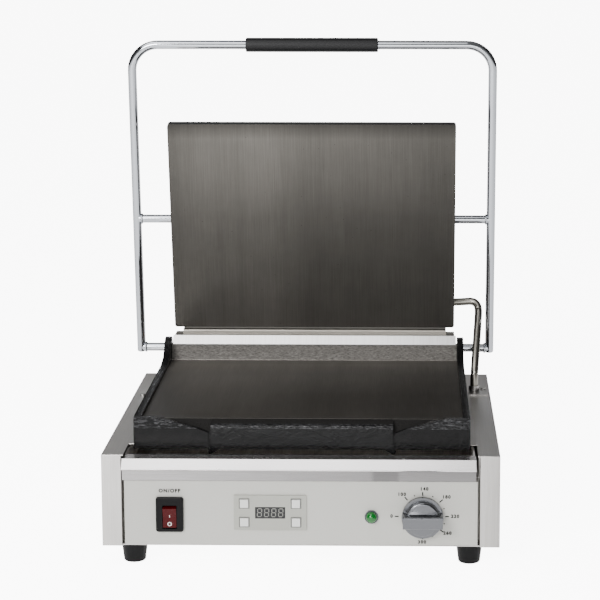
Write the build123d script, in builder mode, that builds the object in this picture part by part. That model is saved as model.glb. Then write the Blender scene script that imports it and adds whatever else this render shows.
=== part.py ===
"""Commercial contact grill: one electric base, a self-levelling upper plate on a sprung lid frame.

Millimetres. +Z is up, X runs left to right, the operator stands at -Y. The table is at Z = 0.
"""
import os
from math import asin, cos, degrees, radians, sin

from build123d import *

os.makedirs("parts", exist_ok=True)

# ---- case
case_width = 410.0
case_depth = 340.0
half = case_width / 2
front = -case_depth / 2
rear = case_depth / 2
base_bottom = 20.5
base_top = 117.4
sheet = 1.2
post_width = 20.5
post_return = 24.0
rail_width = 40.0
rail_front_width = 23.0
notch_depth = 41.0
panel_recess = 3.0
panel_drop = 27.8
panel_top = base_top - panel_drop
panel_side = 23.0
panel_half = half - panel_side
panel_flange = 10.0
deck_thickness = 2.0
deck_depth = 69.0
corner_radius = 0.8

# ---- feet and screws
foot_side = 31.0
foot_x = half - foot_side
foot_inset = 18.0
foot_radius = 13.75
screw_shank = 2.0
rail_screw_side = 10.5
conduit_screw_side = 7.5
screw_head = 3.5
head_height = 1.6

# ---- drip tray
tray_side = 24.0
tray_half = half - tray_side
tray_shift = -1.6
lip_side = 23.0
lip_half = half - lip_side
tray_height = 22.5
tray_drop = 4.4
tray_top = base_top - tray_drop
tray_bottom = tray_top - tray_height
tray_room = 150.0
tray_depth = case_depth - tray_room
tray_sheet = 1.0
ledge_depth = 14.0
lip_reach = 8.0
lip_drop = 8.5
guide_leg = 0.9
guide_shelf = 10.0

# ---- lower plate
surface_rise = 27.6
surface_z = base_top + surface_rise
slab = 10.0
plate_side = 30.0
lower_half = half - plate_side
plate_setback = 28.0
lower_front = front + plate_setback
plate_back = 37.0
lower_rear = rear - plate_back
wall = 6.0
side_wall = 7.5
rim_height = 4.5
ear_rise = 27.0
ear_top = surface_z + ear_rise
ear_run = 58.0
ear_front = lower_rear - ear_run
back_wall_inset = 8.5
back_wall_front = lower_rear - back_wall_inset
back_wall_rise = 19.0
back_wall_top = surface_z + back_wall_rise
slope_run = 14.0
slope_start = lower_front + slope_run
skirt_overlap = 1.4
skirt_front_z = base_top - skirt_overlap
spout_half = 95.0
spout_drop = 3.0
spout_top = surface_z - spout_drop
horn_drop = 12.0
horn_inner_z = surface_z - horn_drop
horn_tip = 18.0
horn_flat = lower_half - horn_tip
nib_overlap = 6.4
nib_bottom = base_top - nib_overlap
element_radius = 4.0

# ---- hinge and lid frame
pivot_back = 22.0
pivot_y = rear - pivot_back
pivot_rise = 10.0
pivot_z = surface_z + pivot_rise
rod_radius = 5.0
shaft_rod = 4.8
arm_clear = 1.5
arm_x = half + arm_clear
arm_lean = radians(6.5)
arm_length = 365.0
cross_length = 158.5
bend_radius = 30.0
grip_radius = 8.25
grip_length = 151.0
bracket_side = 20.0
bracket_width = 10.0
bracket_in = lower_half - bracket_side
bracket_out = bracket_in + bracket_width
bracket_front = pivot_y - 14.0
bracket_rear = pivot_y + 12.0
bracket_rise = 18.0
bracket_top = pivot_z + bracket_rise
bush_radius = 7.0
running_gap = 0.05
housing_front = pivot_y - 12.0
housing_rise = 25.0
housing_top = pivot_z + housing_rise
spring_radius = 8.5
spring_wire = 1.5

# ---- upper plate
closed_gap = 1.0
face_offset = 22.0
upper_side = 10.5
upper_half = lower_half - upper_side
upper_below = 128.0
upper_above = 123.0
upper_slab = 10.0
skirt_depth = 6.0
cover_inset = 3.5
cover_half = upper_half - cover_inset
cover_top_inset = 16.5
skirt_inset = 1.0
skirt_top = upper_above - cover_top_inset + cover_inset - skirt_inset
cover_depth = 32.0
cover_corner = 8.0
cover_slot = 5.5
element_inset = 40.0
hanger_gap = 27.75
hanger_x = (upper_half - element_inset) / 2 + hanger_gap
hanger_half = 10.0
hanger_rise = 12.0

# ---- controls
switch_x, switch_z = -135.1, 54.0
switch_width, switch_height = 28.4, 36.7
rocker_width, rocker_height = 14.0, 24.0
display_x, display_z = -31.5, 56.0
display_width, display_height = 75.0, 37.0
window_width, window_height = 31.2, 12.3
button_size = 8.7
button_dx, button_dz = 26.7, 9.9
button_travel = 0.8
button_gap = 0.35
lamp_x, lamp_z = 72.9, 52.0
lamp_radius = 7.0
lamp_barrel = 6.2
lamp_glass = 5.7
knob_x, knob_z = 125.5, 52.5
knob_radius = 21.5
shaft_radius = 3.0

# ---- conduit and cable gland
conduit_radius = 4.5
conduit_side = 18.0
conduit_x = half - conduit_side
conduit_back = 76.0
conduit_y = rear - conduit_back
conduit_u, conduit_w = -109.0, -11.0
gland_x, gland_z = -120.0, 45.0
gland_bore = 4.0
gland_radius = 9.0
gland_length = 18.0

panel_face = front + panel_recess
closing_slope = asin((surface_z + closed_gap + face_offset - pivot_z) / cross_length)
plate_lean = arm_lean + closing_slope
arm_dir = Vector(0, -sin(arm_lean), cos(arm_lean))
pivot = Vector(0, pivot_y, pivot_z)
cross_centre = pivot + arm_dir * cross_length
bar_centre = pivot + arm_dir * arm_length
plate_out = Vector(0, -cos(plate_lean), -sin(plate_lean))
plate_up = Vector(0, -sin(plate_lean), cos(plate_lean))
upper_plane = Plane(origin=cross_centre, x_dir=(1, 0, 0), z_dir=plate_out)
centre_low = (Align.CENTER, Align.CENTER, Align.MIN)


def block(x0, x1, y0, y1, z0, z1, mode=Mode.ADD):
    """Adds or cuts the box between two corners in the part being built."""
    with Locations(((x0 + x1) / 2, (y0 + y1) / 2, (z0 + z1) / 2)):
        Box(abs(x1 - x0), abs(y1 - y0), abs(z1 - z0), mode=mode)


def bar(start, direction, radius, length, mode=Mode.ADD):
    """Adds or cuts a round bar that leaves start along direction."""
    with Locations(Plane(origin=start, z_dir=direction)):
        Cylinder(radius, length, align=centre_low, mode=mode)


def upper_block(x0, x1, u0, u1, w0, w1, mode=Mode.ADD):
    """A box in the upper plate's own frame: x across, u up its face, w out of its face."""
    with Locations(upper_plane):
        with Locations(((x0 + x1) / 2, (u0 + u1) / 2, (w0 + w1) / 2)):
            Box(abs(x1 - x0), abs(u1 - u0), abs(w1 - w0), mode=mode)


def at_upper(x, u, w):
    """A point of the upper plate's own frame, in the shared frame."""
    return cross_centre + Vector(x, 0, 0) + plate_up * u + plate_out * w


conduit_enter = (at_upper(0, conduit_u, conduit_w).Y, at_upper(0, conduit_u, conduit_w).Z)


def tube_along(points, radius, bend):
    """Sweeps a round section along straight runs joined by tangent bends."""
    with BuildLine() as route:
        FilletPolyline(*points, radius=bend)
    with BuildSketch(Plane(origin=route.line @ 0, z_dir=route.line % 0)) as section:
        Circle(radius)
    sweep(sections=section.sketch, path=route.line)


def save(built, label):
    """Names the sub-part and writes its own STEP file."""
    built.part.label = label
    export_step(built.part, f"parts/{label}.step")


# ---- side panels: outer side, front post, top rail with its notch, rear return
side_panels = []
for side in (-1, 1):
    with BuildPart() as panel:
        block(side * half, side * (half - sheet), front, rear, base_bottom, base_top)
        block(side * half, side * (half - post_width), front, front + sheet, base_bottom, base_top)
        block(
            side * (half - post_width), side * (half - post_width + sheet),
            front, front + post_return, base_bottom, base_top,
        )
        block(side * half, side * (half - rail_front_width), front, rear, base_top - sheet, base_top)
        block(
            side * half, side * (half - rail_width),
            front + notch_depth, rear, base_top - sheet, base_top,
        )
        block(side * half, side * (half - post_width), rear - sheet, rear, base_bottom, base_top)
        outer = panel.edges().filter_by(Axis.Z).filter_by(
            lambda e: abs(abs(e.center().X) - half) < sheet / 4
        )
        fillet(outer, corner_radius)
    side_panels.append(panel)
save(side_panels[0], "left_side_panel")
save(side_panels[1], "right_side_panel")


def cut_side_panels():
    """Notches the part being built round both side panels, so that they meet face to face."""
    for made in side_panels:
        add(made.part, mode=Mode.SUBTRACT)


feet_places = [
    (sx * foot_x, sy * (rear - foot_inset)) for sx in (-1, 1) for sy in (-1, 1)
]

with BuildPart() as bottom_plate:
    block(
        -half + sheet, half - sheet, panel_face, rear - sheet,
        base_bottom, base_bottom + sheet,
    )
    with Locations(*[(x, y, base_bottom) for x, y in feet_places]):
        Cylinder(screw_shank + running_gap, sheet, align=centre_low, mode=Mode.SUBTRACT)
    with Locations((0, rear - deck_depth, base_bottom)):
        with GridLocations(16.0, 26.0, 9, 2):
            Box(6.0, 18.0, sheet * 3, mode=Mode.SUBTRACT)
    cut_side_panels()
save(bottom_plate, "bottom_plate")

deck_top = base_top - sheet
deck_bottom = deck_top - deck_thickness
with BuildPart() as deck_plate:
    block(-half + sheet, half - sheet, rear - deck_depth, rear - sheet, deck_bottom, deck_top)
    block(-bracket_in / 3, bracket_in / 3, pivot_y - 8, pivot_y + 8, deck_bottom, deck_top, Mode.SUBTRACT)
save(deck_plate, "deck_plate")

with BuildPart() as rear_panel:
    block(
        -half + sheet, half - sheet, rear - 2 * sheet, rear - sheet,
        base_bottom + sheet, deck_bottom,
    )
    with Locations((0, rear, (base_bottom + deck_bottom) / 2)):
        with GridLocations(12.0, 1.0, 17, 1):
            Box(5.0, 6 * sheet, 44.0, mode=Mode.SUBTRACT)
    bar((gland_x, rear - 3 * sheet, gland_z), (0, 1, 0), gland_radius * 0.7, 3 * sheet, Mode.SUBTRACT)
save(rear_panel, "rear_panel")

# ---- control panel with its openings
knob_bush = shaft_radius + 2.0
with BuildPart() as control_panel:
    block(-panel_half, panel_half, panel_face, panel_face + sheet, base_bottom + sheet, panel_top)
    block(-panel_half, panel_half, panel_face, panel_face + 18, panel_top - sheet, panel_top)
    block(
        -panel_half, panel_half, panel_face, panel_face + panel_flange,
        base_bottom + sheet, base_bottom + 2 * sheet,
    )
    for side in (-1, 1):
        block(
            side * panel_half, side * (panel_half - sheet),
            panel_face, panel_face + 18, base_bottom + sheet, panel_top,
        )
        block(
            side * panel_half, side * (half - post_width),
            panel_face + 14, panel_face + 18, base_bottom + sheet, panel_top,
        )
    block(
        switch_x - switch_width / 2 + 2, switch_x + switch_width / 2 - 2,
        panel_face - sheet, panel_face + 2 * sheet,
        switch_z - switch_height / 2 + 2, switch_z + switch_height / 2 - 2, Mode.SUBTRACT,
    )
    block(
        display_x - display_width / 2 + 3, display_x + display_width / 2 - 3,
        panel_face - sheet, panel_face + 2 * sheet,
        display_z - display_height / 2 + 3, display_z + display_height / 2 - 3, Mode.SUBTRACT,
    )
    bar((lamp_x, panel_face - sheet, lamp_z), (0, 1, 0), lamp_barrel, 3 * sheet, Mode.SUBTRACT)
    bar((knob_x, panel_face - sheet, knob_z), (0, 1, 0), knob_bush, 3 * sheet, Mode.SUBTRACT)
save(control_panel, "control_panel")

# ---- tray guides: one angle at each side, fixed to the post returns
guide_x = half - post_width
guide_start = front + ledge_depth + 2
guide_end = front + tray_depth + 10
with BuildPart() as tray_guides:
    for side in (-1, 1):
        block(
            side * guide_x, side * (guide_x - guide_leg),
            guide_start, guide_end, tray_bottom - guide_leg, tray_top - 2,
        )
        block(
            side * guide_x, side * (guide_x - guide_shelf),
            guide_start, guide_end, tray_bottom - guide_leg, tray_bottom,
        )
        block(
            side * guide_x, side * (half - sheet),
            guide_end - 16, guide_end, tray_bottom - guide_leg, tray_bottom,
        )
save(tray_guides, "tray_guides")

# ---- drip tray
tray_back = front + tray_depth
pan_front = front + ledge_depth
left = tray_shift - tray_half
right = tray_shift + tray_half
with BuildPart() as drip_tray:
    block(left, right, pan_front, tray_back, tray_bottom, tray_top)
    block(
        left + tray_sheet, right - tray_sheet, pan_front + tray_sheet, tray_back - tray_sheet,
        tray_bottom + tray_sheet, tray_top + tray_sheet, Mode.SUBTRACT,
    )
    block(left, right, tray_back - 60, tray_back, tray_top - 6, tray_top + tray_sheet, Mode.SUBTRACT)
    block(left, right, tray_back - tray_sheet, tray_back, tray_bottom, tray_top - 6)
save(drip_tray, "drip_tray")

with BuildPart() as tray_front:
    with BuildSketch(Plane.YZ.offset(tray_shift - lip_half)):
        with BuildLine():
            Polyline(
                (pan_front, tray_top),
                (pan_front, tray_top + tray_sheet),
                (front, tray_top + tray_sheet / 2),
                (front - lip_reach, tray_top - lip_drop),
                (front - lip_reach + tray_sheet, tray_top - lip_drop - 1.6),
                (front, tray_top - lip_drop - 1.6),
                (front, tray_bottom),
                (pan_front, tray_bottom),
                (pan_front, tray_bottom + tray_sheet),
                (front + tray_sheet, tray_bottom + tray_sheet),
                (front + tray_sheet, tray_top - lip_drop - 0.6),
                (front - lip_reach + 2 * tray_sheet, tray_top - lip_drop - 0.3),
                (front + 0.4, tray_top - 0.6),
                (pan_front, tray_top),
            )
        make_face()
    extrude(amount=2 * lip_half)
save(tray_front, "tray_front")

# ---- lower heating element, cast-in from below
coil_z = surface_z - slab - element_radius * 0.75
coil_x = lower_half - 45
with BuildPart() as lower_element:
    tube_along(
        [
            (-18, 96, coil_z), (-18, -20, coil_z), (-coil_x / 2, -20, coil_z), (-coil_x / 2, 96, coil_z), (-coil_x, 96, coil_z),
            (-coil_x, -100, coil_z), (coil_x, -100, coil_z), (coil_x, 96, coil_z),
            (coil_x / 2, 96, coil_z), (coil_x / 2, -20, coil_z), (18, -20, coil_z), (18, 96, coil_z),
        ],
        element_radius, 14.0,
    )
save(lower_element, "lower_element")

# ---- lower plate casting
skirt_z = base_top
inner = lower_half - side_wall
boss_places = [(sx * 105.0, sy) for sx in (-1, 1) for sy in (-60.0, 60.0)] + [(0.0, -60.0), (0.0, 60.0)]
boss_radius = 6.0
clamp_z = coil_z - element_radius
with BuildPart() as lower_plate:
    block(-lower_half, lower_half, lower_front + 14, back_wall_front + wall, surface_z - slab, surface_z)
    for side in (-1, 1):
        with BuildSketch(Plane.YZ.offset(side * lower_half)):
            with BuildLine():
                Polyline(
                    (lower_front + 5, skirt_z), (lower_front + 5, surface_z + rim_height),
                    (ear_front, surface_z + rim_height), (ear_front + 24, surface_z + 9),
                    (lower_rear - 18, ear_top - 4), (lower_rear - 12, ear_top),
                    (lower_rear - 3, ear_top), (lower_rear, ear_top - 3), (lower_rear, skirt_z),
                    (lower_front + 5, skirt_z),
                )
            make_face()
        extrude(amount=-side * side_wall)
    block(-lower_half, lower_half, back_wall_front, back_wall_front + wall, skirt_z, back_wall_top)
    with BuildSketch(Plane.YZ.offset(-inner)):
        with BuildLine():
            Polyline(
                (slope_start, surface_z), (lower_front + 2, horn_inner_z - 3),
                (lower_front + 2, skirt_front_z), (lower_front + 2 + wall, skirt_front_z),
                (lower_front + 2 + wall, surface_z - slab - 4), (slope_start, surface_z - slab),
                (slope_start, surface_z),
            )
        make_face()
    extrude(amount=2 * inner)
    for side in (-1, 1):
        with BuildSketch(Plane.XZ.offset(-lower_front - 6)):
            with BuildLine():
                Polyline(
                    (side * (spout_half + 2), horn_inner_z), (side * (spout_half + 2), skirt_front_z),
                    (side * lower_half, skirt_front_z), (side * lower_half, surface_z + 4),
                    (side * horn_flat, surface_z + 4),
                )
                Spline(
                    (side * horn_flat, surface_z + 4), (side * (horn_flat - 29.0), surface_z - 1.6),
                    (side * (spout_half + 2), horn_inner_z), tangents=((-side, 0), (-side, -0.45)),
                )
            make_face()
        extrude(amount=6)
    with BuildSketch(Plane.YZ.offset(-spout_half)):
        with BuildLine():
            Polyline(
                (lower_front, skirt_front_z), (lower_front, spout_top - 5),
                (lower_front + 1.5, spout_top - 1.5), (lower_front + 5, spout_top),
                (slope_start - 1, surface_z - 0.4), (slope_start, surface_z - slab),
                (lower_front + 8, surface_z - slab - 4), (lower_front + 8, skirt_front_z),
                (lower_front, skirt_front_z),
            )
        make_face()
    extrude(amount=2 * spout_half)
    for side in (-1, 1):
        with BuildSketch(Plane.XZ.offset(-lower_front - 7)):
            with BuildLine():
                Polyline(
                    (side * (spout_half - 9), skirt_front_z), (side * (spout_half - 1), nib_bottom),
                    (side * (spout_half + 2), nib_bottom), (side * (spout_half + 3), skirt_front_z),
                    (side * (spout_half - 9), skirt_front_z),
                )
            make_face()
        extrude(amount=7)
    with Locations(*[(x, y, clamp_z) for x, y in boss_places]):
        Cylinder(boss_radius, surface_z - slab - clamp_z, align=centre_low)
    add(lower_element.part, mode=Mode.SUBTRACT)
    corners = lower_plate.edges().filter_by(Axis.Z).filter_by(
        lambda e: abs(abs(e.center().X) - lower_half) < sheet and e.length > wall
    )
    fillet(corners.sort_by(Axis.Y)[-2:], 3.0)
save(lower_plate, "lower_plate")

with BuildPart() as lower_clamps:
    for y in (-60.0, 60.0):
        block(-coil_x - 12, coil_x + 12, y - 8, y + 8, clamp_z - 2.5, clamp_z)
    for x, y in boss_places:
        bar((x, y, clamp_z - 2.5 - head_height * 2), (0, 0, 1), screw_head + 1, head_height * 2)
save(lower_clamps, "lower_clamps")

with BuildPart() as heat_shield:
    block(
        -inner + 0.5, inner - 0.5, lower_front + 2 + wall + 0.5, back_wall_front - 0.5,
        base_top, base_top + sheet,
    )
    block(-30, 30, 80, 110, base_top - sheet, base_top + 2 * sheet, Mode.SUBTRACT)
save(heat_shield, "heat_shield")

# ---- hinge: brackets, bushes, sprung housing, springs
with BuildPart() as brackets:
    for side in (-1, 1):
        block(
            side * bracket_in, side * bracket_out, bracket_front, bracket_rear, deck_top, bracket_top
        )
    tops = brackets.edges().filter_by(Axis.X).group_by(Axis.Z)[-1]
    fillet(tops, 6.0)
    for side in (-1, 1):
        bar(
            (side * (bracket_in - 1), pivot_y, pivot_z), (side, 0, 0),
            bush_radius, bracket_out - bracket_in + 2, Mode.SUBTRACT,
        )
save(brackets, "hinge_brackets")

with BuildPart() as hinge_bushes:
    for side in (-1, 1):
        bar(
            (side * bracket_in, pivot_y, pivot_z), (side, 0, 0),
            bush_radius, bracket_out - bracket_in,
        )
        bar(
            (side * (bracket_in - 1), pivot_y, pivot_z), (side, 0, 0),
            shaft_rod + running_gap, bracket_out - bracket_in + 2, Mode.SUBTRACT,
        )
save(hinge_bushes, "hinge_bushes")

housing_wall = 1.5
with BuildPart() as spring_housing:
    block(-bracket_in, bracket_in, housing_front, rear - sheet, deck_top, housing_top)
    fillet(spring_housing.edges().filter_by(Axis.X).group_by(Axis.Z)[-1], 3.0)
    block(
        -bracket_in + housing_wall, bracket_in - housing_wall, housing_front + housing_wall,
        rear - sheet - housing_wall, deck_top, housing_top - housing_wall, Mode.SUBTRACT,
    )
    bar((-bracket_in - 1, pivot_y, pivot_z), (1, 0, 0), bush_radius + 1, 2 * bracket_in + 2, Mode.SUBTRACT)
save(spring_housing, "spring_housing")

coil_turns = 8
coil_pitch = 2 * spring_wire + 0.6
with BuildPart() as springs:
    for centre in (-100.0, 40.0):
        with BuildLine() as coil:
            Helix(
                coil_pitch, coil_pitch * coil_turns, spring_radius,
                center=(centre, pivot_y, pivot_z), direction=(1, 0, 0),
            )
        with BuildSketch(Plane(origin=coil.line @ 0, z_dir=coil.line % 0)):
            Circle(spring_wire)
        sweep(path=coil.line, is_frenet=True)
        for end in (0, 1):
            tip = coil.line @ end
            leg = (coil.line % end) * (2 * end - 1)
            wall_y = rear - sheet - housing_wall if leg.Y > 0 else housing_front + housing_wall
            bar(tip, leg, spring_wire, (wall_y - tip.Y) / leg.Y - spring_wire * abs(leg.X / leg.Y))
save(springs, "counterbalance_springs")

with BuildPart() as rear_deflector:
    with BuildSketch(Plane.YZ.offset(-inner + 1)):
        with BuildLine():
            Polyline(
                (back_wall_front, back_wall_top), (bracket_front - sheet, bracket_top),
                (bracket_front, bracket_top), (bracket_front, back_wall_top - 16),
                (bracket_front - sheet, back_wall_top - 16), (bracket_front - sheet, bracket_top - sheet * 1.6),
                (back_wall_front + sheet * 1.4, back_wall_top), (back_wall_front, back_wall_top),
            )
        make_face()
    extrude(amount=2 * inner - 2)
save(rear_deflector, "rear_deflector")

# ---- feet and fasteners
with BuildPart() as feet:
    for x, y in feet_places:
        with BuildSketch(Plane.XY.offset(0)):
            with Locations((x, y)):
                Circle(foot_radius - 2.5)
        with BuildSketch(Plane.XY.offset(base_bottom)):
            with Locations((x, y)):
                Circle(foot_radius)
        loft()
    bottoms = feet.edges().filter_by(GeomType.CIRCLE).group_by(Axis.Z)[0]
    fillet(bottoms, 2.0)
    for x, y in feet_places:
        with Locations((x, y, 0)):
            Cylinder(screw_head + 1, base_bottom * 0.4, align=centre_low, mode=Mode.SUBTRACT)
            Cylinder(screw_shank, base_bottom, align=centre_low, mode=Mode.SUBTRACT)
save(feet, "feet")

with BuildPart() as foot_screws:
    for x, y in feet_places:
        with Locations((x, y, base_bottom * 0.4 - head_height)):
            Cylinder(screw_head, head_height, align=centre_low)
        with Locations((x, y, base_bottom * 0.4)):
            Cylinder(screw_shank, base_bottom * 0.6 + 2 * sheet, align=centre_low)
        with Locations((x, y, base_bottom + sheet)):
            Cylinder(screw_head, head_height, align=centre_low)
save(foot_screws, "foot_screws")

with BuildPart() as post_screws:
    for side in (-1, 1):
        for y in (front + 9, rear - 12):
            with Locations((side * (half - 12), y, base_bottom - head_height)):
                Cylinder(screw_head, head_height, align=centre_low)
                Cylinder(screw_shank, head_height, align=centre_low)
save(post_screws, "post_screws")

# ---- conduit plate on the right rail, and the rail screws
plate_low, plate_high = conduit_y - 24.0, conduit_y + 10.0
with BuildPart() as conduit_plate:
    block(half - post_width - 3.5, half - 3, plate_low, plate_high, base_top, base_top + sheet)
    with Locations((conduit_x, conduit_y, base_top + sheet)):
        Cylinder(conduit_radius + 1.6, 5.0, align=centre_low)
    with Locations((conduit_x, conduit_y, base_top)):
        Cylinder(conduit_radius, 8.0, align=centre_low, mode=Mode.SUBTRACT)
save(conduit_plate, "conduit_plate")

with BuildPart() as rail_screws:
    for x, y, z in ((-(half - rail_screw_side), 67.0, base_top), (half - conduit_screw_side, conduit_y + 3, base_top + sheet)):
        with Locations((x, y, z)):
            Cylinder(screw_head * 0.8, head_height, align=centre_low)
            Cylinder(screw_head * 0.25, head_height * 0.5, align=centre_low)
save(rail_screws, "rail_screws")

conduit_end = cover_half - 4.0
with BuildPart() as lid_conduit:
    tube_along(
        [
            (conduit_x, conduit_y, base_top), (conduit_x, conduit_y, base_top + 24),
            (conduit_x + 3, *conduit_enter), (conduit_end, *conduit_enter),
        ],
        conduit_radius, 15.0,
    )
save(lid_conduit, "lid_conduit")

# ---- lid frame
with BuildPart() as handle_frame:
    ends = [
        pivot + Vector(-arm_x, 0, 0) - arm_dir * rod_radius,
        bar_centre + Vector(-arm_x, 0, 0),
        bar_centre + Vector(arm_x, 0, 0),
        pivot + Vector(arm_x, 0, 0) - arm_dir * rod_radius,
    ]
    tube_along([tuple(p) for p in ends], rod_radius, bend_radius)
    tips = handle_frame.faces().filter_by(GeomType.PLANE).edges()
    fillet(tips, 1.5)
save(handle_frame, "handle_frame")


def rod_between_arms(centre):
    """A round rod from arm to arm, coped to the arms at both ends."""
    bar((-arm_x, centre.Y, centre.Z), (1, 0, 0), shaft_rod, 2 * arm_x)
    add(handle_frame.part, mode=Mode.SUBTRACT)
    block(
        -arm_x - 3 * rod_radius, -arm_x, centre.Y - 2 * rod_radius, centre.Y + 2 * rod_radius,
        centre.Z - 2 * rod_radius, centre.Z + 2 * rod_radius, Mode.SUBTRACT,
    )
    block(
        arm_x, arm_x + 3 * rod_radius, centre.Y - 2 * rod_radius, centre.Y + 2 * rod_radius,
        centre.Z - 2 * rod_radius, centre.Z + 2 * rod_radius, Mode.SUBTRACT,
    )


with BuildPart() as pivot_shaft:
    rod_between_arms(pivot)
save(pivot_shaft, "pivot_shaft")

with BuildPart() as cross_rod:
    rod_between_arms(cross_centre)
save(cross_rod, "cross_rod")

with BuildPart() as shaft_collars:
    for x in (-bracket_in + 18, bracket_in - 18):
        bar((x - 4, pivot_y, pivot_z), (1, 0, 0), rod_radius + 4, 8)
        bar((x - 5, pivot_y, pivot_z), (1, 0, 0), shaft_rod, 10, Mode.SUBTRACT)
save(shaft_collars, "shaft_collars")

with BuildPart() as handle_grip:
    bar((-grip_length / 2, bar_centre.Y, bar_centre.Z), (1, 0, 0), grip_radius, grip_length)
    fillet(handle_grip.edges().filter_by(GeomType.CIRCLE), 1.5)
    bar((-grip_length, bar_centre.Y, bar_centre.Z), (1, 0, 0), rod_radius, 2 * grip_length, Mode.SUBTRACT)
save(handle_grip, "handle_grip")

# ---- upper plate, hung on the cross rod
slab_back = face_offset - upper_slab
skirt_back = slab_back - skirt_depth
upper_coil_w = slab_back - element_radius * 0.25
ux = upper_half - element_inset


def upper_points(flat):
    """Turns points of the upper plate's own frame into the shared frame."""
    return [tuple(at_upper(*p)) for p in flat]


with BuildPart() as upper_element:
    tube_along(
        upper_points([
            (-18, -98, upper_coil_w), (-18, 70, upper_coil_w), (-ux / 2, 70, upper_coil_w),
            (-ux / 2, -98, upper_coil_w), (-ux, -98, upper_coil_w), (-ux, 96, upper_coil_w),
            (ux, 96, upper_coil_w), (ux, -98, upper_coil_w), (ux / 2, -98, upper_coil_w),
            (ux / 2, 70, upper_coil_w), (18, 70, upper_coil_w), (18, -98, upper_coil_w),
        ]),
        element_radius, 12.0,
    )
save(upper_element, "upper_element")

bolt_places = [(sx * (ux + 15.5), su) for sx in (-1, 1) for su in (23.0 - upper_below, skirt_top - 14.0)]
upper_bosses = [(sx * 38.0, su) for sx in (-1, 1) for su in (-60.0, 40.0)] + [
    (sx * (ux + 18), su) for sx in (-1, 1) for su in (-60.0, 40.0)
]
upper_clamp_w = upper_coil_w - element_radius
with BuildPart() as upper_plate:
    upper_block(-upper_half, upper_half, -upper_below, upper_above, slab_back, face_offset)
    fillet(upper_plate.edges().filter_by(lambda e: abs(e.length - upper_slab) < sheet / 4), 3.0)
    skirt_half = upper_half - skirt_inset
    skirt_low = skirt_inset - upper_below
    upper_block(-skirt_half, skirt_half, skirt_low, skirt_top, skirt_back, slab_back)
    upper_block(
        wall - skirt_half, skirt_half - wall, skirt_low + wall, skirt_top - wall,
        skirt_back - 1, slab_back, Mode.SUBTRACT,
    )
    for x, u in upper_bosses:
        bar(at_upper(x, u, upper_clamp_w), plate_out, boss_radius, slab_back - upper_clamp_w)
    add(upper_element.part, mode=Mode.SUBTRACT)
save(upper_plate, "upper_plate")

with BuildPart() as upper_clamps:
    for u in (-60.0, 40.0):
        upper_block(-ux - 26, ux + 26, u - 8, u + 8, upper_clamp_w - 2.5, upper_clamp_w)
    for x, u in upper_bosses:
        bar(at_upper(x, u, upper_clamp_w - 2.5 - 2 * head_height), plate_out, screw_head, 2 * head_height)
save(upper_clamps, "upper_clamps")

with BuildPart() as hanger_blocks:
    for side in (-1, 1):
        upper_block(
            side * (hanger_x - hanger_half), side * (hanger_x + hanger_half),
            -hanger_rise, hanger_rise, -rod_radius - 5, slab_back,
        )
        bar(
            cross_centre + Vector(side * hanger_x - hanger_half - 1, 0, 0), (1, 0, 0),
            shaft_rod + running_gap, 2 * hanger_half + 2, Mode.SUBTRACT,
        )
save(hanger_blocks, "hanger_blocks")

cover_back = skirt_back - cover_depth
cover_high = upper_above - cover_top_inset
cover_low = cover_inset - upper_below
with BuildPart() as upper_cover:
    for inset, depth_from in ((0, cover_back), (sheet, cover_back + sheet)):
        with BuildSketch(upper_plane.offset(depth_from)):
            with Locations((0, (cover_high + cover_low) / 2)):
                RectangleRounded(
                    2 * (cover_half - inset), cover_high - cover_low - 2 * inset, cover_corner - inset,
                )
        extrude(amount=skirt_back - depth_from, mode=Mode.SUBTRACT if inset else Mode.ADD)
        if not inset:
            back = upper_cover.faces().sort_by(lambda f: (f.center() - cross_centre).dot(plate_out))[0]
            fillet(back.edges(), 2.5)
    bar(
        cross_centre - Vector(cover_half + 1, 0, 0), (1, 0, 0),
        cover_slot, 2 * cover_half + 2, Mode.SUBTRACT,
    )
    upper_block(-cover_half - 1, cover_half + 1, -cover_slot, cover_slot, 0, skirt_back + 1, Mode.SUBTRACT)
    bar(
        (cover_half - 3 * sheet, *conduit_enter), (1, 0, 0), conduit_radius + 2.0, 5 * sheet,
        Mode.SUBTRACT,
    )
    for x, u in bolt_places:
        bar(at_upper(x, u, cover_back - sheet), plate_out, screw_shank + 0.3, 4 * sheet, Mode.SUBTRACT)
save(upper_cover, "upper_cover")

with BuildPart() as conduit_ferrule:
    bar((cover_half, *conduit_enter), (1, 0, 0), conduit_radius + 4.5, 3.5)
    bar((cover_half - 2, *conduit_enter), (1, 0, 0), conduit_radius + 2.0, 2.0)
    bar((cover_half - 4, *conduit_enter), (1, 0, 0), conduit_radius, 10.0, Mode.SUBTRACT)
save(conduit_ferrule, "conduit_ferrule")

with BuildPart() as cover_bolts:
    for x, u in bolt_places:
        bar(at_upper(x, u, cover_back), plate_out, screw_shank, slab_back - cover_back)
        bar(at_upper(x, u, cover_back - head_height), plate_out, screw_head, head_height)
save(cover_bolts, "cover_bolts")

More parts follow.
